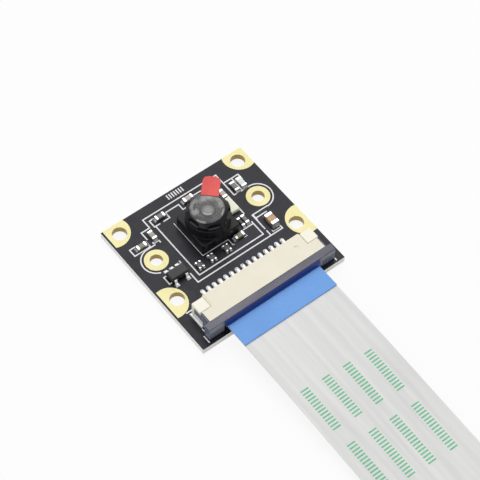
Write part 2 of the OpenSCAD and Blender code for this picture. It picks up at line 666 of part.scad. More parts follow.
// Direction of the route at point i, from its neighbours.
function route_step(i) = ribbon_route[min(i + 1, len(ribbon_route) - 1)] - ribbon_route[max(i - 1, 0)];
function route_ring(i) =
    let (step = route_step(i) / norm(route_step(i)), up = [step[1], -step[0]], place = ribbon_route[i])
    [for (p = ribbon_section) [ribbon_x + p[0], place[0] + up[0] * p[1], place[1] + up[1] * p[1]]];

module ribbon() color("#dedede") {
    n = len(ribbon_section);
    rings = len(ribbon_route);
    polyhedron(
        points = [for (i = [0:rings - 1]) each route_ring(i)],
        faces = concat(
            [[for (k = [0:n - 1]) k]],
            [for (i = [0:rings - 2], k = [0:n - 1])
                [i * n + k, (i + 1) * n + k, (i + 1) * n + (k + 1) % n, i * n + (k + 1) % n]],
            [[for (k = [n - 1:-1:0]) (rings - 1) * n + k]]),
        convexity = 4);
}

ribbon_tip = ribbon_route[0];
ribbon_end = ribbon_route[len(ribbon_route) - 1];
finger_l = 4;
finger_w = 0.6;
finger_t = 0.02;
module ribbon_bar(y, l, z, t)
    translate([ribbon_x - ribbon_w / 2, y, z]) cube([ribbon_w, l, t]);
module ribbon_fingers(y, z)
    for (i = [0:contact_count - 1])
        translate([ribbon_x + (i - (contact_count - 1) / 2) * contact_pitch - finger_w / 2, y, z])
            cube([finger_w, finger_l, finger_t]);

module near_stiffener() color("#5b93dc")
    ribbon_bar(ribbon_tip[0] - stiffener_l, stiffener_l, ribbon_tip[1] + ribbon_t / 2, stiffener_t);
module near_fingers() color(tin)
    ribbon_fingers(ribbon_tip[0] - finger_l, ribbon_tip[1] - ribbon_t / 2 - finger_t);
module far_stiffener() color("#5b93dc")
    ribbon_bar(ribbon_end[0], stiffener_l, ribbon_end[1] + ribbon_t / 2, stiffener_t);
module far_fingers() color(tin)
    ribbon_fingers(ribbon_end[0], ribbon_end[1] - ribbon_t / 2 - finger_t);

circuit_board();
corner_pads();
ring_pads();
legend();
solder_joints();
image_sensor();
sensor_glass();
infrared_filter();
lens_holder();
lens_barrel();
front_lens();
middle_lens();
rear_lens();
lens_spacer();
lens_retainer();
protective_film();
pull_tab();
connector_housing();
connector_slider();
connector_contacts();
connector_anchors();
ribbon();
near_stiffener();
near_fingers();
far_stiffener();
far_fingers();
regulator_body();
regulator_leads();
oscillator();
status_lamp();
lamp_ends();
capacitor_1();
capacitor_2();
capacitor_3();
capacitor_4();
capacitor_5();
capacitor_6();
capacitor_7();
capacitor_8();
capacitor_ends();
resistor_1();
resistor_2();
resistor_ends();
array_1();
array_2();
array_3();
array_ends();
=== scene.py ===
import math

import bmesh
import bpy
from mathutils import Matrix, Vector


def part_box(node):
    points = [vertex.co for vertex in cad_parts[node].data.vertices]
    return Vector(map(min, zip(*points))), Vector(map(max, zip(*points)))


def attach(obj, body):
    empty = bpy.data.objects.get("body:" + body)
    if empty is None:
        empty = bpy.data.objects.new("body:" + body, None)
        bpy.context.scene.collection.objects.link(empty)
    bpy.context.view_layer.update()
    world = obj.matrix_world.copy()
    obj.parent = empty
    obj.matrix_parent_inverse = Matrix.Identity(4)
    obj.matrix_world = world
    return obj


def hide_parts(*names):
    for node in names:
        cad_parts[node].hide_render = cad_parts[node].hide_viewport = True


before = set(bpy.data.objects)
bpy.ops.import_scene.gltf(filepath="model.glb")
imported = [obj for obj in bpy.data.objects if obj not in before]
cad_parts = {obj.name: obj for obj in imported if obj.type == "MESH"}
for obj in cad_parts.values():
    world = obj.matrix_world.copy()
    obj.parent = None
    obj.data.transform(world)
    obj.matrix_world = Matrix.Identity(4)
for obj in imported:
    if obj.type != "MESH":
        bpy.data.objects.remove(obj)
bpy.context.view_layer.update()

MM = 0.001

# --- Viewpoint --------------------------------------------------------------
# A long lens in front of the board and to its left, looking steeply down on
# it, with the ribbon running out of the view at the lower right.
turn, rise, roll = (math.radians(a) for a in (-39.526, 56.382, 1.958))
back = Vector((math.sin(turn) * math.cos(rise), -math.cos(turn) * math.cos(rise), math.sin(rise)))
level = Vector((math.cos(turn), math.sin(turn), 0))
plumb = back.cross(level)
right = math.cos(roll) * level + math.sin(roll) * plumb
up = math.cos(roll) * plumb - math.sin(roll) * level

camera = bpy.data.objects.new("camera", bpy.data.cameras.new("camera"))
camera.data.sensor_width = 36
camera.data.lens = 137.99
camera.data.clip_start = 0.01
camera.data.clip_end = 20
distance, aside, above, aim_drop = 258.28, 2.489, 1.316, 0.1
stand = MM * (distance * back + aside * right + above * up - Vector((0, 0, aim_drop)))
camera.matrix_world = Matrix.Translation(stand) @ Matrix((right, up, back)).transposed().to_4x4()
bpy.context.scene.collection.objects.link(camera)
bpy.context.scene.camera = camera


# --- Ribbon: film and conductors ----------------------------------------------
# Fifteen flat tinned conductors laminated between two polyester films. The
# film is pale grey and takes the light in long streaks where it lies over
# the conductors. It leaves the connector level and sinks to the table.
def srgb(red, green, blue):
    """A colour given as it looks on a screen, 0 to 255, as linear light."""
    def linear(c):
        c = c / 255
        return c / 12.92 if c <= 0.04045 else ((c + 0.055) / 1.055) ** 2.4
    return linear(red), linear(green), linear(blue), 1


def new_finish(name):
    """A material with only its shader: (material, nodes, link function, shader)."""
    finish = bpy.data.materials.new(name)
    finish.use_nodes = True
    nodes = finish.node_tree.nodes
    return finish, nodes, finish.node_tree.links.new, nodes["Principled BSDF"]


def set_sockets(node, **values):
    """Sets a node's inputs by name, with _ for a space."""
    for name, value in values.items():
        node.inputs[name.replace("_", " ")].default_value = value


def surface_noise(nodes, link, scale, stretch=(1, 1, 1), detail=4):
    """Noise on the piece's own coordinates, scale being its features per metre."""
    coordinates = nodes.new("ShaderNodeTexCoord")
    mapping = nodes.new("ShaderNodeMapping")
    mapping.inputs["Scale"].default_value = stretch
    noise = nodes.new("ShaderNodeTexNoise")
    set_sockets(noise, Scale=scale, Detail=detail, Roughness=0.55)
    link(coordinates.outputs["Object"], mapping.inputs["Vector"])
    link(mapping.outputs["Vector"], noise.inputs["Vector"])
    return noise.outputs["Fac"]


def ramp(nodes, link, factor, stops, target=None):
    """Colours along a factor, from (place, colour) stops, linked to a socket if one is given."""
    node = nodes.new("ShaderNodeValToRGB")
    while len(node.color_ramp.elements) < len(stops):
        node.color_ramp.elements.new(0.5)
    for element, (at, colour) in zip(node.color_ramp.elements, stops):
        element.position, element.color = at, colour
    link(factor, node.inputs["Fac"])
    if target is not None:
        link(node.outputs["Color"], target)
    return node.outputs["Color"]


def spread(nodes, link, factor, low, high, target):
    """A factor's middle stretch widened to low..high, linked to a socket."""
    node = nodes.new("ShaderNodeMapRange")
    set_sockets(node, From_Min=0.3, From_Max=0.7, To_Min=low, To_Max=high)
    link(factor, node.inputs["Value"])
    link(node.outputs["Result"], target)


def relief(nodes, link, height, depth, strength, shader):
    """Raises the surface by height times depth, in metres."""
    node = nodes.new("ShaderNodeBump")
    set_sockets(node, Strength=strength, Distance=depth)
    link(height, node.inputs["Height"])
    link(node.outputs["Normal"], shader.inputs["Normal"])


def grained(name, dark, light, gloss, grain, depth, **constants):
    """A solid finish whose shade, gloss and surface wander with its grain."""
    finish, nodes, link, shader = new_finish(name)
    broad = surface_noise(nodes, link, grain)
    fine = surface_noise(nodes, link, 6 * grain, detail=3)
    ramp(nodes, link, broad, [(0.3, dark), (0.7, light)], shader.inputs["Base Color"])
    spread(nodes, link, fine, gloss[0], gloss[1], shader.inputs["Roughness"])
    relief(nodes, link, fine, depth, 0.5, shader)
    set_sockets(shader, **constants)
    return finish


def add_piece(name, mesh, finish=None):
    """A mesh as a piece that stands where its points say."""
    piece = bpy.data.objects.new(name, mesh)
    bpy.context.scene.collection.objects.link(piece)
    if finish is not None:
        mesh.materials.clear()
        mesh.materials.append(finish)
    return piece


def round_off(mesh, angle=35):
    """Smooth shading between faces that meet at less than the angle."""
    mesh.shade_smooth()
    mesh.set_sharp_from_angle(angle=math.radians(angle))


def finished_mesh(form, name, angle=35):
    """The built form as a mesh, smooth where its faces meet at less than the angle."""
    mesh = bpy.data.meshes.new(name)
    form.to_mesh(mesh)
    form.free()
    round_off(mesh, angle)
    return mesh


def seat(piece, body):
    """The piece moves with the body."""
    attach(piece, body)
    return piece


ribbon_x, ribbon_half, film_half = 0.05 * MM, 8 * MM, 0.062 * MM
conductors, conductor_pitch = 15, 1.0 * MM
ribbon_route = [
    (-7.3, 2.075), (-10, 2.075), (-13, 2.075), (-15.5, 2.075), (-18, 2.06), (-21, 2.0), (-25, 1.86),
    (-30, 1.62), (-35, 1.36), (-40, 1.1), (-45, 0.86), (-50, 0.65), (-55, 0.47), (-60, 0.33),
    (-66, 0.21), (-72, 0.14), (-78, 0.11), (-85, 0.1), (-100, 0.1), (-115, 0.1), (-130, 0.1),
    (-145, 0.1), (-157.3, 0.1),
]


def eased_route(points, parts):
    """The route's points with more between them, on one smooth curve."""
    ends = [points[0], *points, points[-1]]
    curve = []
    for before, a, b, after in zip(ends, ends[1:], ends[2:], ends[3:]):
        for i in range(parts):
            t = i / parts
            y = a[0] + (b[0] - a[0]) * t
            slope_a = (b[1] - before[1]) / (b[0] - before[0]) if b[0] != before[0] else 0
            slope_b = (after[1] - a[1]) / (after[0] - a[0]) if after[0] != a[0] else 0
            span = b[0] - a[0]
            z = ((2 * t**3 - 3 * t**2 + 1) * a[1] + (t**3 - 2 * t**2 + t) * span * slope_a
                 + (3 * t**2 - 2 * t**3) * b[1] + (t**3 - t**2) * span * slope_b)
            curve.append(Vector((ribbon_x, y * MM, z * MM)))
    curve.append(Vector((ribbon_x, points[-1][0] * MM, points[-1][1] * MM)))
    return curve


centreline = eased_route(ribbon_route, 4)


def swept_bar(name, line, section, finish):
    """A bar of the section, as (across, up) points, swept along a line in a plane across X."""
    form = bmesh.new()
    rings = []
    for i, point in enumerate(line):
        step = (line[min(i + 1, len(line) - 1)] - line[max(i - 1, 0)]).normalized()
        lift = Vector((0, step.z, -step.y))
        rings.append([form.verts.new(point + Vector((across, 0, 0)) + high * lift)
                      for across, high in section])
    for near, far in zip(rings, rings[1:]):
        for i in range(len(section)):
            j = (i + 1) % len(section)
            form.faces.new((near[i], far[i], far[j], near[j]))
    form.faces.new(rings[0])
    form.faces.new(reversed(rings[-1]))
    bmesh.ops.recalc_face_normals(form, faces=form.faces)
    return add_piece(name, finished_mesh(form, name), finish)


film_finish, nodes, link, shader = new_finish("laminated_film")
streaks = surface_noise(nodes, link, 900, (1, 0.03, 1), 3)
blotches = surface_noise(nodes, link, 160, (1, 0.5, 1), 2)
ramp(nodes, link, streaks, [(0.3, srgb(217, 218, 217)), (0.7, srgb(234, 234, 232))],
     shader.inputs["Base Color"])
spread(nodes, link, blotches, 0.28, 0.42, shader.inputs["Roughness"])
relief(nodes, link, streaks, 0.02 * MM, 0.35, shader)
set_sockets(shader, Specular_IOR_Level=0.3)

film_edge = 0.03 * MM
film_section = [
    (film_edge - ribbon_half, -film_half), (ribbon_half - film_edge, -film_half),
    (ribbon_half, film_edge - film_half), (ribbon_half, film_half - film_edge),
    (ribbon_half - film_edge, film_half), (film_edge - ribbon_half, film_half),
    (-ribbon_half, film_half - film_edge), (-ribbon_half, film_edge - film_half),
]
ribbon = swept_bar("ribbon_film", centreline, film_section, film_finish)


def node_tree(name, **sizes):
    """An empty node tree with its named sizes: (tree, new node, link, inputs, output)."""
    tree = bpy.data.node_groups.new(name, "GeometryNodeTree")
    for size, kind in sizes.items():
        tree.interface.new_socket(name=size, in_out="INPUT", socket_type="NodeSocket" + kind)
    tree.interface.new_socket(name="Geometry", in_out="OUTPUT", socket_type="NodeSocketGeometry")
    made = tree.nodes.new
    named, result = made("NodeGroupInput").outputs, made("NodeGroupOutput").inputs["Geometry"]
    return tree, made, tree.links.new, named, result


def row_along_x(node, link, sizes):
    """Count points in a row across the ribbon, Pitch apart."""
    row, step_along = node("GeometryNodeMeshLine"), node("ShaderNodeCombineXYZ")
    link(sizes["Pitch"], step_along.inputs["X"])
    link(sizes["Count"], row.inputs["Count"])
    link(step_along.outputs["Vector"], row.inputs["Offset"])
    return row


def one_at_each(node, link, sizes, result, points, shape):
    """The shape at every point, made real and given its finish; returns the placing node."""
    place_each = node("GeometryNodeInstanceOnPoints")
    link(points, place_each.inputs["Points"])
    link(shape, place_each.inputs["Instance"])
    real = node("GeometryNodeRealizeInstances")
    link(place_each.outputs["Instances"], real.inputs["Geometry"])
    coat = node("GeometryNodeSetMaterial")
    link(real.outputs["Geometry"], coat.inputs["Geometry"])
    link(sizes["Finish"], coat.inputs["Material"])
    link(coat.outputs["Geometry"], result)
    return place_each


def grow(name, tree, seed=None, **sizes):
    """The plain mesh that a node tree makes with these sizes, as a piece."""
    base = add_piece(name + "_base", seed or bpy.data.meshes.new(name + "_base"))
    growing = base.modifiers.new(name, "NODES")
    growing.node_group = tree
    for socket in tree.interface.items_tree:
        if socket.in_out == "INPUT" and socket.name in sizes:
            growing[socket.identifier] = sizes[socket.name]
    bpy.context.view_layer.update()
    seen = base.evaluated_get(bpy.context.evaluated_depsgraph_get())
    mesh = bpy.data.meshes.new_from_object(seen)
    base.modifiers.remove(growing)
    bpy.data.objects.remove(base)
    return add_piece(name, mesh)


# Each conductor shows as a low ridge: a flat oval swept along the ribbon's
# upper face, once for each conductor, side by side at the pitch.
tree, node, link, sizes, result = node_tree(
    "ridges_along_ribbon", Route="Geometry", Count="Int", Pitch="Float", Width="Float", Height="Float",
    Finish="Material")
line = node("GeometryNodeMeshToCurve")
link(sizes["Route"], line.inputs["Mesh"])
level_up = node("GeometryNodeSetCurveNormal")
level_up.mode = "Z_UP"
link(line.outputs["Curve"], level_up.inputs["Curve"])
oval = node("GeometryNodeCurvePrimitiveCircle")
set_sockets(oval, Resolution=10, Radius=0.5)
flatten = node("GeometryNodeTransform")
flat_scale = node("ShaderNodeCombineXYZ")
link(sizes["Width"], flat_scale.inputs["X"])
link(sizes["Height"], flat_scale.inputs["Y"])
flat_scale.inputs["Z"].default_value = 1
link(oval.outputs["Curve"], flatten.inputs["Geometry"])
link(flat_scale.outputs["Vector"], flatten.inputs["Scale"])
sweep = node("GeometryNodeCurveToMesh")
sweep.inputs["Fill Caps"].default_value = True
link(level_up.outputs["Curve"], sweep.inputs["Curve"])
link(flatten.outputs["Geometry"], sweep.inputs["Profile Curve"])
row = row_along_x(node, link, sizes)
one_at_each(node, link, sizes, result, row.outputs["Mesh"], sweep.outputs["Mesh"])

ridge_width, ridge_height, sunk = 0.66 * MM, 0.034 * MM, 0.003 * MM
past_near_end, short_of_far_end = 14, 6
ridge_line = bpy.data.meshes.new("ridge_line")
ridge_start = Vector((-(conductors - 1) / 2 * conductor_pitch, 0, film_half - sunk))
ridge_points = [point + ridge_start for point in centreline[past_near_end:-short_of_far_end]]
ridge_line.from_pydata(ridge_points, [(i, i + 1) for i in range(len(ridge_points) - 1)], [])
ridges = grow("ribbon_ridges", tree, ridge_line, Count=conductors, Pitch=conductor_pitch,
              Width=ridge_width, Height=ridge_height, Finish=film_finish)
round_off(ridges.data, 60)
for piece in (ribbon, ridges):
    seat(piece, "board")
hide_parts("ribbon")


# --- Ribbon: stiffened ends ---------------------------------------------------
# A strip of blue polyester is bonded on top of each end, and underneath it
# the conductors are bared and tinned as fifteen contact fingers.
def flatten_faces(piece):
    """Keeps the wide faces flat in their shading, so that only the rounded edges turn."""
    weighting = piece.modifiers.new("face_weighting", "WEIGHTED_NORMAL")
    weighting.keep_sharp = True
    weighting.weight = 100
    bpy.context.view_layer.update()
    seen = piece.evaluated_get(bpy.context.evaluated_depsgraph_get())
    plain = bpy.data.meshes.new_from_object(seen)
    piece.modifiers.remove(weighting)
    piece.data = plain


def eased(node_name, name, finish, width=0.03 * MM, steps=2, angle=35):
    """A copy of a CAD solid with its hard edges rounded off, which stands for it."""
    form = bmesh.new()
    form.from_mesh(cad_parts[node_name].data)
    for layer in list(form.loops.layers.uv):
        form.loops.layers.uv.remove(layer)
    bmesh.ops.remove_doubles(form, verts=form.verts, dist=0.001 * MM)
    bmesh.ops.dissolve_limit(form, angle_limit=math.radians(0.5), verts=form.verts, edges=form.edges)
    sharp = [edge for edge in form.edges
             if edge.is_manifold and edge.calc_face_angle(0) > math.radians(angle)]
    bmesh.ops.bevel(form, geom=sharp, offset=width, offset_type="OFFSET", segments=steps, profile=0.5,
                    affect="EDGES", clamp_overlap=True)
    mesh = bpy.data.meshes.new(name)
    form.to_mesh(mesh)
    form.free()
    for stale in ("custom_normal", "sharp_edge", "sharp_face"):
        if stale in mesh.attributes:
            mesh.attributes.remove(mesh.attributes[stale])
    round_off(mesh, angle)
    piece = add_piece(name, mesh, finish)
    flatten_faces(piece)
    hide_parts(node_name)
    return piece


def re_coat(node_name, finish):
    """A CAD solid keeps its shape and takes a finish."""
    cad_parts[node_name].material_slots[0].material = finish


blue_finish = grained("blue_polyester", srgb(99, 157, 229), srgb(105, 163, 233), (0.24, 0.32), 260,
                      0.0003 * MM, Specular_IOR_Level=0.3)
tin_finish = grained("bright_tin", srgb(214, 216, 220), srgb(238, 239, 242), (0.16, 0.34), 2600, 0.01 * MM,
                     Metallic=0.9)
near_strip = seat(eased("near_stiffener", "near_stiffening_strip", blue_finish), "board")
far_strip = seat(eased("far_stiffener", "far_stiffening_strip", blue_finish), "board")

# The fingers of one end: a low round-cornered bar for each conductor.
tree, node, link, sizes, result = node_tree(
    "row_of_fingers", Finger="Geometry", Count="Int", Pitch="Float", Start="Vector", Finish="Material")
row = row_along_x(node, link, sizes)
link(sizes["Start"], row.inputs["Start Location"])
one_at_each(node, link, sizes, result, row.outputs["Mesh"], sizes["Finger"])
row_tree = tree


def low_bar(name, width, length, height):
    """A flat bar with its upper and lower edges eased, from its own middle."""
    form = bmesh.new()
    bmesh.ops.create_cube(form, size=1)
    bmesh.ops.scale(form, vec=(width, length, height), verts=form.verts)
    bmesh.ops.bevel(form, geom=list(form.edges), offset=0.3 * min(width, length, height), segments=2,
                    profile=0.5, affect="EDGES")
    return finished_mesh(form, name)


finger_width = 0.6 * MM


def finger_row(node_name, name):
    """The bared fingers of one end, in the box of the CAD solid that they stand for."""
    low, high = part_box(node_name)
    middle = (low + high) / 2
    bar = low_bar(name + "_bar", finger_width, high.y - low.y, high.z - low.z)
    start = Vector((low.x + finger_width / 2, middle.y, middle.z))
    piece = grow(name, row_tree, bar, Count=conductors, Pitch=conductor_pitch, Start=start,
                 Finish=tin_finish)
    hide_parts(node_name)
    return seat(piece, "board")


near_row = finger_row("near_fingers", "near_contact_fingers")
far_row = finger_row("far_fingers", "far_contact_fingers")


# --- Ribbon: printed marks ------------------------------------------------------
# Four rows of plain green strokes printed along the ribbon's upper face, in
# groups, over and over down its length. The ink lies on the film.
tree, node, link, sizes, result = node_tree(
    "strokes_on_ribbon", Places="Geometry", Film="Object", Stroke="Vector", Finish="Material")
film_shape = node("GeometryNodeObjectInfo")
link(sizes["Film"], film_shape.inputs["Object"])
drop = node("GeometryNodeRaycast")
drop.inputs["Ray Direction"].default_value = (0, 0, -1)
drop.inputs["Ray Length"].default_value = 0.01
link(film_shape.outputs["Geometry"], drop.inputs["Target Geometry"])
rest_on = node("GeometryNodeSetPosition")
link(sizes["Places"], rest_on.inputs["Geometry"])
link(drop.outputs["Hit Position"], rest_on.inputs["Position"])
mark = node("GeometryNodeMeshCube")
link(sizes["Stroke"], mark.inputs["Size"])
tilt = node("FunctionNodeAlignRotationToVector")
tilt.axis = "Z"
link(drop.outputs["Hit Normal"], tilt.inputs["Vector"])
place_each = one_at_each(node, link, sizes, result, rest_on.outputs["Geometry"], mark.outputs["Mesh"])
link(tilt.outputs["Rotation"], place_each.inputs["Rotation"])

green_ink = grained("green_ink", srgb(92, 182, 134), srgb(112, 198, 152), (0.4, 0.6), 1500, 0.004 * MM)
row_starts = ((4.75, -25.9), (1.2, -25.7), (-2.25, -25.5), (-5.75, -25.3))
groups = ((0, 14), (9.7, 16))                # each group's start along its row, and its strokes
repeats, repeat_length, stroke_pitch = 4, 36, 0.52
stroke_size = (1.3 * MM, 0.22 * MM, 0.03 * MM)
dropped_from, print_end = 0.005, -0.146
print_places = []
for repeat in range(repeats):
    for row_x, row_y in row_starts:
        for first, strokes in groups:
            for i in range(strokes):
                along = row_y - repeat_length * repeat - first - stroke_pitch * i
                print_places.append((row_x * MM, along * MM, dropped_from))
stroke_points = bpy.data.meshes.new("stroke_points")
stroke_points.from_pydata([place for place in print_places if place[1] > print_end], [], [])
strokes = grow("ribbon_print", tree, stroke_points, Film=ribbon, Stroke=stroke_size, Finish=green_ink)
seat(strokes, "board")


# --- Circuit board ----------------------------------------------------------------
# Glass-fibre laminate under a satin black solder mask, routed to size. The
# mask covers both faces and leaves the cut edges of the pale laminate bare.
board_low, board_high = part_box("circuit_board")
board_top = board_high.z


def calculate(nodes, link, operation, a, b=None):
    """One sum on sockets or plain numbers."""
    node = nodes.new("ShaderNodeMath")
    node.operation = operation
    for socket, value in zip(node.inputs, (a, b)):
        if hasattr(value, "links"):
            link(value, socket)
        elif value is not None:
            socket.default_value = value
    return node.outputs[0]


def own_axes(nodes, link):
    """A point's place on its piece, as sockets named X, Y and Z."""
    coordinates, apart = nodes.new("ShaderNodeTexCoord"), nodes.new("ShaderNodeSeparateXYZ")
    link(coordinates.outputs["Object"], apart.inputs["Vector"])
    return apart.outputs


def further_than(nodes, link, axis, reach):
    """1 where a point is further than the reach from the middle, on either side."""
    return calculate(nodes, link, "GREATER_THAN", calculate(nodes, link, "ABSOLUTE", axis), reach)


def both_of(nodes, link, one, other):
    """1 where both are 1."""
    return calculate(nodes, link, "MULTIPLY", one, other)


def painted(nodes, link, where, under, over):
    """The colour over where the first says so, and the one under it elsewhere."""
    shade = nodes.new("ShaderNodeMix")
    shade.data_type = "RGBA"
    link(where, shade.inputs["Factor"])
    link(under, shade.inputs["A"])
    if hasattr(over, "links"):
        link(over, shade.inputs["B"])
    else:
        shade.inputs["B"].default_value = over
    return shade.outputs["Result"]


mask_dark, mask_light = srgb(20, 20, 27), srgb(32, 33, 42)
laminate_dark, laminate_light = srgb(246, 245, 240), srgb(252, 252, 250)
edge_depth = 0.004 * MM
board_finish, nodes, link, shader = new_finish("solder_mask")
weave = surface_noise(nodes, link, 1400, detail=3)
cloud = surface_noise(nodes, link, 220, detail=3)
laminate = surface_noise(nodes, link, 700, (1, 1, 6), 3)
at = own_axes(nodes, link)
cut_edge = calculate(nodes, link, "MAXIMUM", further_than(nodes, link, at["X"], board_high.x - edge_depth),
                     further_than(nodes, link, at["Y"], board_high.y - edge_depth))
mask_shade = ramp(nodes, link, cloud, [(0.3, mask_dark), (0.7, mask_light)])
edge_shade = ramp(nodes, link, laminate, [(0.3, laminate_dark), (0.7, laminate_light)])
link(painted(nodes, link, cut_edge, mask_shade, edge_shade), shader.inputs["Base Color"])
spread(nodes, link, weave, 0.3, 0.42, shader.inputs["Roughness"])
relief(nodes, link, weave, 0.006 * MM, 0.5, shader)
set_sockets(shader, Specular_IOR_Level=0.2)
re_coat("circuit_board", board_finish)


# --- Gold pads ----------------------------------------------------------------------
# Flat gold plating round the four corner holes and the two ring holes, open
# in the mask on both faces and carried down the walls of the holes.
gold_finish, nodes, link, shader = new_finish("gold_plating")
brushed = surface_noise(nodes, link, 1800, detail=3)
haze = surface_noise(nodes, link, 350, detail=2)
at = own_axes(nodes, link)
# Inside the holes the gold is painted a darker brown: painted shadow down the hole walls.
hole_bottom, hole_top = board_low.z + 0.004 * MM, board_top + 0.002 * MM
in_hole = both_of(nodes, link, calculate(nodes, link, "LESS_THAN", at["Z"], hole_top),
                  calculate(nodes, link, "GREATER_THAN", at["Z"], hole_bottom))
face_shade = ramp(nodes, link, haze, [(0.3, srgb(209, 199, 138)), (0.7, srgb(214, 207, 154))])
hole_painted_shadow = srgb(180, 154, 76)
link(painted(nodes, link, in_hole, face_shade, hole_painted_shadow), shader.inputs["Base Color"])
spread(nodes, link, brushed, 0.28, 0.36, shader.inputs["Roughness"])
relief(nodes, link, brushed, 0.002 * MM, 0.3, shader)
set_sockets(shader, Metallic=0.2)
for pads in ("corner_pads", "ring_pads"):
    re_coat(pads, gold_finish)


# --- White legend ---------------------------------------------------------------------
# Screen-printed white ink: frames round the lens, arcs round the ring pads
# and brackets beside the chips. A short row of plain bars stands behind the lens.
ink_finish = grained("white_ink", srgb(232, 233, 235), srgb(248, 248, 249), (0.45, 0.65), 2600, 0.006 * MM)
re_coat("legend", ink_finish)

tree, node, link, sizes, result = node_tree(
    "row_of_bars", Count="Int", Pitch="Vector", Start="Vector", Bar="Vector", Finish="Material")
row = node("GeometryNodeMeshLine")
link(sizes["Count"], row.inputs["Count"])
link(sizes["Start"], row.inputs["Start Location"])
link(sizes["Pitch"], row.inputs["Offset"])
mark = node("GeometryNodeMeshCube")
link(sizes["Bar"], mark.inputs["Size"])
one_at_each(node, link, sizes, result, row.outputs["Mesh"], mark.outputs["Mesh"])

bar_count, bar_pitch, bar_width, bar_length, ink_height = 7, 0.42 * MM, 0.2 * MM, 0.85 * MM, 0.03 * MM
first_bar = (-1.26 * MM, 11.1 * MM, board_top + ink_height / 2)
bars = grow("legend_bars", tree, Count=bar_count, Pitch=(bar_pitch, 0, 0), Start=first_bar,
            Bar=(bar_width, bar_length, ink_height), Finish=ink_finish)
seat(bars, "board")


# --- Solder ---------------------------------------------------------------------------
# Tin on every pad, climbing the ends of the chips, darkened there as painted shade. Each tail of the
# connector ends in a small smooth mound of its own.
solder_finish = grained("bright_solder", srgb(240, 241, 243), srgb(250, 250, 251), (0.3, 0.42), 2200,
                        0.002 * MM, Metallic=0.15)
# The joints take a darker copy of the bright solder: painted shade on fillets that face away from the
# lamps.
solder_painted_shade = grained("solder_painted_shade", srgb(120, 120, 122), srgb(206, 207, 209), (0.3, 0.5), 1900, 0.01 * MM,
                      Metallic=0.5)
re_coat("solder_joints", solder_painted_shade)


def solder_mound(name, width, length, height):
    """A smooth low mound on a round-ended pad, highest where the tail lies in it."""
    form = bmesh.new()
    across, along = 12, 20
    nose_from, nose_share, skirt = 0.72, 0.28, 0.02 * MM
    side_fall, nose_fall, heel, heel_rise = 2.2, 2.4, 0.55, 3
    grid = []
    for j in range(along + 1):
        v = j / along
        y = length * (v - 0.5)
        nose = max(0.0, (v - nose_from) / nose_share)
        half = width / 2 * math.sqrt(max(0.0, 1 - nose * nose))
        line = []
        for i in range(across + 1):
            u = 2 * i / across - 1
            crown = (1 - abs(u) ** side_fall) * (1 - nose ** nose_fall) * min(1, heel + heel_rise * v)
            line.append(form.verts.new((u * half, y, height * crown)))
        grid.append(line)
    for near, far in zip(grid, grid[1:]):
        for i in range(across):
            form.faces.new((near[i], near[i + 1], far[i + 1], far[i]))
    rim = [e for e in form.edges if e.is_boundary]
    floor_edges = bmesh.ops.extrude_edge_only(form, edges=rim)["geom"]
    for vertex in (g for g in floor_edges if isinstance(g, bmesh.types.BMVert)):
        vertex.co.z = -skirt
    bmesh.ops.remove_doubles(form, verts=form.verts, dist=0.0005 * MM)
    bmesh.ops.contextual_create(form, geom=[e for e in form.edges if e.is_boundary])
    bmesh.ops.recalc_face_normals(form, faces=form.faces)
    return finished_mesh(form, name, 60)


layout_x = 0.15 * MM
tail_y, pad_thickness = -5.1 * MM, 0.03 * MM
mound_width, mound_length, mound_height = 0.58 * MM, 1.9 * MM, 0.24 * MM
mound = solder_mound("tail_mound", mound_width, mound_length, mound_height)
first_tail_x = layout_x - (conductors - 1) / 2 * conductor_pitch
tail_start = Vector((first_tail_x, tail_y, board_top + pad_thickness))
tail_finish = grained("tail_solder", srgb(246, 247, 249), srgb(252, 252, 253), (0.3, 0.42), 2200,
                      0.002 * MM, Metallic=0.55)
mounds = grow("tail_solder", row_tree, mound, Count=conductors, Pitch=conductor_pitch, Start=tail_start,
              Finish=tail_finish)
seat(mounds, "board")


# --- Image sensor and filter ------------------------------------------------------------
# A bare silicon sensor under a thin cover glass, and a coated glass filter
# on the ledge of the holder above it. None of it shows from outside.
silicon = grained("polished_silicon", srgb(40, 62, 60), srgb(52, 78, 74), (0.08, 0.16), 3000, 0.002 * MM)
cover_glass = grained("cover_glass", srgb(196, 208, 206), srgb(208, 220, 217), (0.03, 0.07), 300,
                      0.001 * MM, Transmission_Weight=0.9, IOR=1.5)
filter_coat = grained("filter_coating", srgb(134, 186, 202), srgb(150, 200, 214), (0.03, 0.06), 300,
                      0.001 * MM, Transmission_Weight=0.8, IOR=1.5)
re_coat("image_sensor", silicon)
re_coat("sensor_glass", cover_glass)
re_coat("infrared_filter", filter_coat)


# --- Lens holder ------------------------------------------------------------------------
# Black moulded socket glued to the board: a square foot with a chamfered rim
# and a round neck in which the lens barrel turns.
satin_black = grained("satin_black_moulding", srgb(14, 14, 17), srgb(22, 22, 26), (0.3, 0.44), 1500,
                      0.006 * MM, Specular_IOR_Level=0.2)
seat(eased("lens_holder", "lens_holder_moulding", satin_black, 0.05 * MM), "board")


# --- Lens barrel ------------------------------------------------------------------------
# Glossy black barrel with a sloping shoulder and six key notches in its
# head. It turns in the neck to set the focus, and holds three moulded lenses.
gloss_black = grained("gloss_black_moulding", srgb(14, 14, 17), srgb(20, 20, 24), (0.14, 0.24), 700,
                      0.002 * MM, Specular_IOR_Level=0.18)
seat(eased("lens_barrel", "lens_barrel_moulding", gloss_black, 0.04 * MM, 3), "lens_unit")
coated_glass = grained("coated_lens", srgb(158, 157, 152), srgb(172, 171, 166), (0.16, 0.24), 500,
                       0.001 * MM, Metallic=0.2)
for lens_node in ("front_lens", "middle_lens", "rear_lens"):
    re_coat(lens_node, coated_glass)
for ring_node in ("lens_spacer", "lens_retainer"):
    re_coat(ring_node, satin_black)


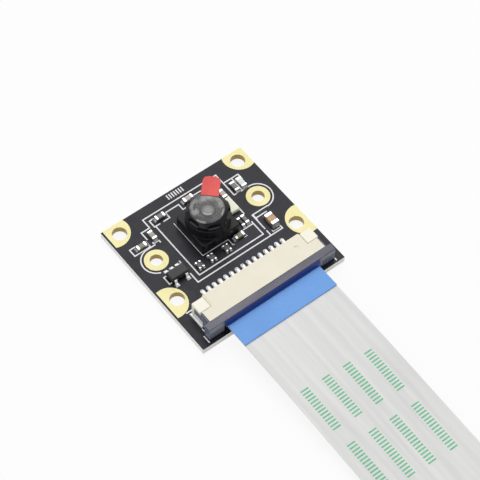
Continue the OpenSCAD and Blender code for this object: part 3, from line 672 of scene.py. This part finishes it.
# --- Protective film and tab --------------------------------------------------------------
# A disc of smoke-grey clear film clings to the barrel's rim to keep dust off
# the lens. A red tab is stuck on top of it to pull it off by.
lens_axis = Vector((layout_x, 3.54 * MM, 0))
smoke_finish, nodes, link, shader = new_finish("smoke_film")
# The film's colour follows each point's painted light, painted highlights and painted shade, with a little
# mottle.
painted_film_light = nodes.new("ShaderNodeAttribute")
painted_film_light.attribute_name = "painted_film_light"
fine = surface_noise(nodes, link, 1600, detail=3)
mottle = surface_noise(nodes, link, 900, detail=2)
grade = calculate(nodes, link, "ADD", painted_film_light.outputs["Fac"],
                  calculate(nodes, link, "MULTIPLY", calculate(nodes, link, "SUBTRACT", mottle, 0.5), 0.06))
ramp(nodes, link, grade, [(0, srgb(46, 45, 51)), (0.25, srgb(80, 80, 82)), (0.5, srgb(124, 124, 121)),
                          (1, srgb(214, 215, 215))], shader.inputs["Base Color"])
spread(nodes, link, fine, 0.14, 0.26, shader.inputs["Roughness"])
relief(nodes, link, mottle, 0.01 * MM, 0.2, shader)
set_sockets(shader, Alpha=0.55, Specular_IOR_Level=0.3)

# The middles of the disc and of the barrel's mouth below it, in mm across the
# tab's way and along it.
tab_way = math.radians(50.5)
film_shift, mouth_middle = (-0.13, -0.14), (0, -0.39)
film_radius, off_the_rim = 2.47 * MM, 0.01 * MM

# Where the film stands off the barrel it is painted pale and where it clings painted dark, as painted
# highlights and painted shade for the light off the film and the lens below: [across, towards the tab,
# reach, painted light] of each patch, in mm.
film_patches = [
    (-1.8, -0.8, 0.85, 0.42), (-2.35, -0.1, 0.5, 0.3), (-2.2, 0.45, 0.6, 0.28), (-1.8, 1.0, 0.7, 0.3),
    (-0.9, 1.2, 0.7, 0.24), (-0.45, 1.8, 1.1, 0.34), (0.7, 1.8, 1.0, 0.3), (1.6, 1.3, 0.8, 0.34),
    (1.75, 0.5, 0.7, 0.34), (0.0, -1.75, 1.0, -0.14), (-1.05, -1.75, 0.6, -0.12), (0.8, 1.0, 0.5, -0.08),
    (1.5, -1.2, 0.7, -0.06), (0.0, -0.39, 1.15, 0.36), (0.0, 2.3, 1.1, 0.24),
]
# Painted arcs and rings of highlight and shade, at the rim and round the lens below: [centre, radius, from
# angle, to angle, width, painted light].
painted_film_arcs = [
    (film_shift, 2.27, -34, 8, 0.15, 0.6), (film_shift, 2.36, -132, -86, 0.17, 0.9),
    (film_shift, 1.8, 148, 200, 0.14, -0.5), (film_shift, 1.45, -180, 180, 0.1, 0.07),
    (film_shift, 1.9, -70, 20, 0.09, 0.12), (mouth_middle, 0.87, -180, 180, 0.08, 0.12),
    (mouth_middle, 0.76, -150, -40, 0.2, 0.5), (mouth_middle, 1.08, -200, 20, 0.14, -0.16),
    (mouth_middle, 0.99, -180, 180, 0.1, -0.22),
]


def step_up(value, low, high):
    """0 below low, 1 above high, and smooth between."""
    t = min(1, max(0, (value - low) / (high - low)))
    return t * t * (3 - 2 * t)


def painted_light_at(across, along):
    """How light the film is painted, 0 to 1, at a place across the tab's way and along it."""
    pale, fade = 0.4, 14                     # plain film, and the degrees over which a painted arc ends
    for u, v, reach, amount in film_patches:
        pale += amount * (1 - step_up(math.hypot(across - u, along - v), 0.25 * reach, reach))
    for (u, v), radius, start, stop, width, amount in painted_film_arcs:
        turned, length = (math.degrees(math.atan2(along - v, across - u)) - start) % 360, stop - start
        inside = 1
        if length != 360:
            inside = step_up(turned, 0, fade) * (1 - step_up(turned, length - fade, length))
        off_line = abs(math.hypot(across - u, along - v) - radius)
        pale += amount * inside * (1 - step_up(off_line, 0.2 * width, width))
    return min(1, max(0, pale))


rim_edge = 2.46 * MM


def film_disc(name, radius, low, high):
    """A thin disc between two heights, faintly uneven, that sinks over the barrel's rim."""
    form = bmesh.new()
    painted_light_layer = form.verts.layers.float.new("painted_film_light")
    rings, spokes = 34, 120
    least, play, rim_share = 0.55, 0.4, 0.6

    def wave(r, a):
        """The film's unevenness, 0 to 1, at a share of its radius and an angle."""
        return 0.5 + 0.25 * math.sin(3 * a + 5 * r) + 0.25 * math.sin(2 * a - 9 * r + 1)

    def point(share, a, high_side):
        """A point of the upper or the lower face, with the film's painted light there."""
        across = share * radius * math.cos(a) + film_shift[0] * MM
        along = share * radius * math.sin(a) + film_shift[1] * MM
        z = low
        if high_side:
            z = low + (high - low) * (least + play * wave(share, a)) * (1 if share < 1 else rim_share)
        z -= max(0, math.hypot(across, along) - rim_edge)
        x = math.cos(tab_way) * along + math.sin(tab_way) * across
        y = math.sin(tab_way) * along - math.cos(tab_way) * across
        vertex = form.verts.new(lens_axis + Vector((x, y, z)))
        vertex[painted_light_layer] = painted_light_at(across / MM, along / MM)
        return vertex

    def ring(share, high_side):
        """The points of one ring, at a share of the radius."""
        return [point(share, 2 * math.pi * k / spokes, high_side) for k in range(spokes)]

    upper = [ring((i + 1) / rings, True) for i in range(rings)]
    lower = ring(1, False)
    crown = point(0, 0, True)
    for k in range(spokes):
        form.faces.new((crown, upper[0][k], upper[0][(k + 1) % spokes]))
    for near, far in zip(upper, upper[1:] + [lower]):
        for k in range(spokes):
            m = (k + 1) % spokes
            form.faces.new((near[k], far[k], far[m], near[m]))
    form.faces.new(list(reversed(lower)))
    bmesh.ops.recalc_face_normals(form, faces=form.faces)
    return finished_mesh(form, name, 50)


film_low, film_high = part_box("protective_film")
film_mesh = film_disc("lens_film", film_radius, film_low.z + off_the_rim, film_high.z)
film = add_piece("lens_film", film_mesh, smoke_finish)
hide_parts("protective_film")
seat(film, "lens_unit")

red_finish = grained("red_film", srgb(215, 60, 58), srgb(231, 82, 78), (0.3, 0.42), 500, 0.006 * MM,
                     Specular_IOR_Level=0.35)
seat(eased("pull_tab", "red_pull_tab", red_finish, 0.03 * MM), "lens_unit")


# --- Ribbon connector -----------------------------------------------------------------------
# A cream moulded housing holds fifteen spring contacts. A smoke-coloured
# slide lock closes its mouth over the ribbon, and a tinned anchor at each
# side is soldered to the board.
cream_finish, nodes, link, shader = new_finish("cream_moulding")
cloud = surface_noise(nodes, link, 300, detail=3)
fine = surface_noise(nodes, link, 2600, detail=3)
at = own_axes(nodes, link)
housing_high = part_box("connector_housing")[1]
ear_width, ear_length = 1.84 * MM, 2.06 * MM
off_middle = calculate(nodes, link, "SUBTRACT", at["X"], layout_x)
# The ear tops are painted paler than the rest of the housing: a painted sheen.
ear_top = both_of(
    nodes, link, further_than(nodes, link, off_middle, housing_high.x - layout_x - ear_width),
    calculate(nodes, link, "GREATER_THAN", at["Y"], housing_high.y - ear_length))
cream_shade = ramp(nodes, link, cloud, [(0.3, srgb(240, 234, 214)), (0.7, srgb(244, 238, 220))])
ear_top_painted_sheen = srgb(254, 250, 234)
link(painted(nodes, link, ear_top, cream_shade, ear_top_painted_sheen), shader.inputs["Base Color"])
spread(nodes, link, fine, 0.4, 0.52, shader.inputs["Roughness"])
relief(nodes, link, fine, 0.0015 * MM, 0.4, shader)
set_sockets(shader, Specular_IOR_Level=0.35)

# The bar's front over the mouth is painted navy, a painted reflection of the shaded blue strip below it,
# and the ears are painted paler down their walls, a painted sheen.
smoke_moulding, nodes, link, shader = new_finish("smoke_moulding")
flow = surface_noise(nodes, link, 420, (0.3, 1, 1), 3)
fine = surface_noise(nodes, link, 2400, (0.4, 1, 1), 3)
at = own_axes(nodes, link)
lock_low, lock_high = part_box("connector_slider")
bar_depth, mouth_half, wall_drop = 0.4 * MM, 8.25 * MM, 0.09 * MM
in_mouth = calculate(nodes, link, "LESS_THAN", calculate(nodes, link, "ABSOLUTE", at["X"]), mouth_half)
over_strip = both_of(
    nodes, link, calculate(nodes, link, "LESS_THAN", at["Y"], lock_low.y + bar_depth), in_mouth)
ear_wall = both_of(
    nodes, link, calculate(nodes, link, "LESS_THAN", at["Z"], lock_high.z - wall_drop),
    further_than(nodes, link, at["X"], mouth_half))
smoke_shade = ramp(nodes, link, flow, [(0.3, srgb(60, 60, 75)), (0.7, srgb(98, 94, 113))])
wall_painted_sheen, strip_painted_reflection = srgb(112, 118, 132), srgb(14, 42, 122)
with_wall_sheen = painted(nodes, link, ear_wall, smoke_shade, wall_painted_sheen)
link(painted(nodes, link, over_strip, with_wall_sheen, strip_painted_reflection), shader.inputs["Base Color"])
spread(nodes, link, fine, 0.16, 0.32, shader.inputs["Roughness"])
relief(nodes, link, fine, 0.008 * MM, 0.5, shader)
set_sockets(shader, Specular_IOR_Level=0.45)

seat(eased("connector_housing", "connector_moulding", cream_finish, 0.05 * MM), "board")
seat(eased("connector_slider", "slide_lock_moulding", smoke_moulding, 0.06 * MM, 3), "slide_lock")
seat(eased("connector_anchors", "side_anchors", solder_finish, 0.03 * MM), "board")
re_coat("connector_contacts", tail_finish)


# --- Chip parts -------------------------------------------------------------------------------
# Small blocks of fired ceramic between tinned ends, soldered flat on their
# pads: capacitors in clay colours, a grey and a black resistor, and brown
# four-ended filters.
clay = {
    "grey": (srgb(112, 110, 106), srgb(132, 130, 126)),
    "pink": (srgb(192, 174, 164), srgb(210, 194, 186)),
    "tan": (srgb(182, 142, 102), srgb(200, 162, 122)),
    "beige": (srgb(158, 152, 145), srgb(178, 173, 166)),
    "green": (srgb(116, 118, 92), srgb(140, 142, 114)),
    "black": (srgb(26, 26, 28), srgb(38, 38, 40)),
    "brown": (srgb(78, 74, 70), srgb(96, 92, 88)),
}
ceramics = {shade: grained(shade + "_ceramic", *colours, (0.35, 0.55), 2400, 0.008 * MM)
            for shade, colours in clay.items()}
chips = {
    "capacitor_1": "grey", "capacitor_2": "pink", "capacitor_3": "beige", "capacitor_4": "green",
    "capacitor_5": "pink", "capacitor_6": "grey", "capacitor_7": "green", "capacitor_8": "tan",
    "resistor_1": "grey", "resistor_2": "black", "array_1": "brown", "array_2": "brown", "array_3": "brown",
}
for chip, shade in chips.items():
    # The beige block is a paler tan.
    seat(eased(chip, chip + "_ceramic", ceramics[shade], 0.03 * MM), "board")
tinned_ends = grained("tinned_ends", srgb(222, 223, 226), srgb(244, 245, 247), (0.2, 0.34), 1800,
                      0.004 * MM, Metallic=0.9)
for ends in ("capacitor_ends", "resistor_ends", "array_ends", "lamp_ends"):
    seat(eased(ends, ends + "_tinned", tinned_ends, 0.05 * MM), "board")


# --- Status lamp --------------------------------------------------------------------------------
# A clear resin block, cast on a small base over the light itself. Its tinned
# ends are soldered down as a chip's are.
resin = grained("clear_resin", srgb(214, 222, 218), srgb(236, 241, 240), (0.12, 0.2), 900, 0.004 * MM)
seat(eased("status_lamp", "status_lamp_resin", resin, 0.05 * MM), "board")


# --- Oscillator -----------------------------------------------------------------------------------
# Cream ceramic package with a thin raised lid brazed on. It lies flat on its
# pads and is soldered there.
cream_ceramic = grained("cream_ceramic", srgb(246, 246, 220), srgb(253, 253, 234), (0.3, 0.42), 1200,
                        0.003 * MM)
seat(eased("oscillator", "oscillator_package", cream_ceramic, 0.04 * MM), "board")


# --- Voltage regulator ------------------------------------------------------------------------------
# Black epoxy, moulded with drafted sides round five tinned gull-wing leads,
# whose feet are soldered to the board.
epoxy = grained("epoxy_moulding", srgb(40, 40, 41), srgb(54, 54, 55), (0.45, 0.6), 2600, 0.012 * MM,
                Specular_IOR_Level=0.35)
seat(eased("regulator_body", "regulator_moulding", epoxy, 0.03 * MM), "board")
seat(eased("regulator_leads", "regulator_gull_wings", solder_finish, 0.02 * MM), "board")


# --- Studio ------------------------------------------------------------------------------------------
# A white table under the part, inside a plain white surround, lit by two soft
# lamps: a large one behind the part and a small one at its left. Seen straight
# or in a reflection the white is bright, and it lights the part less than that.
def seen_or_reflected(nodes, link):
    """1 for what the camera sees straight, in a reflection or through glass, and 0 for light."""
    sight = nodes.new("ShaderNodeLightPath").outputs
    through = calculate(nodes, link, "MAXIMUM", sight["Is Glossy Ray"], sight["Is Transmission Ray"])
    return calculate(nodes, link, "MAXIMUM", sight["Is Camera Ray"], through)


def share_out(nodes, link, share, first, second, surface):
    """Gives the surface the first shader, and the second to the share of it."""
    both = nodes.new("ShaderNodeMixShader")
    link(share, both.inputs["Fac"])
    link(first, both.inputs[1])
    link(second, both.inputs[2])
    link(both.outputs["Shader"], surface)


reach, table_top, table_glow = 3, -0.00002, 0.88
corners = ((-reach, -reach), (reach, -reach), (reach, reach), (-reach, reach))
floor_mesh = bpy.data.meshes.new("table")
floor_mesh.from_pydata([(x, y, table_top) for x, y in corners], [], [(0, 1, 2, 3)])
table = add_piece("table", floor_mesh)
table_finish, nodes, link, shader = new_finish("white_table")
set_sockets(shader, Base_Color=srgb(246, 246, 246), Roughness=0.9, Specular_IOR_Level=0)
glow = nodes.new("ShaderNodeEmission")
share = calculate(nodes, link, "MULTIPLY", seen_or_reflected(nodes, link), table_glow)
share_out(nodes, link, share, shader.outputs["BSDF"], glow.outputs["Emission"],
          nodes["Material Output"].inputs["Surface"])
floor_mesh.materials.append(table_finish)

world = bpy.data.worlds.new("white_surround")
world.use_nodes = True
nodes, link = world.node_tree.nodes, world.node_tree.links.new
plain, lit = nodes["Background"], nodes.new("ShaderNodeBackground")
set_sockets(plain, Color=(1, 1, 1, 1), Strength=0.45)
set_sockets(lit, Color=(1, 1, 1, 1), Strength=1)
share_out(nodes, link, seen_or_reflected(nodes, link), plain.outputs["Background"],
          lit.outputs["Background"], nodes["World Output"].inputs["Surface"])
bpy.context.scene.world = world


def soft_lamp(name, place, size, power):
    """A square soft box that faces the board."""
    lamp = bpy.data.objects.new(name, bpy.data.lights.new(name, "AREA"))
    lamp.data.size, lamp.data.energy = size, power
    lamp.location = place
    lamp.rotation_euler = (-Vector(place)).to_track_quat("-Z", "Y").to_euler()
    bpy.context.scene.collection.objects.link(lamp)


soft_lamp("back_lamp", (0.22, 0.27, 0.52), size=0.6, power=2.5)
soft_lamp("side_lamp", (-0.6, -0.2, 0.35), size=0.4, power=0.6)
bpy.context.scene.view_settings.view_transform = "Standard"
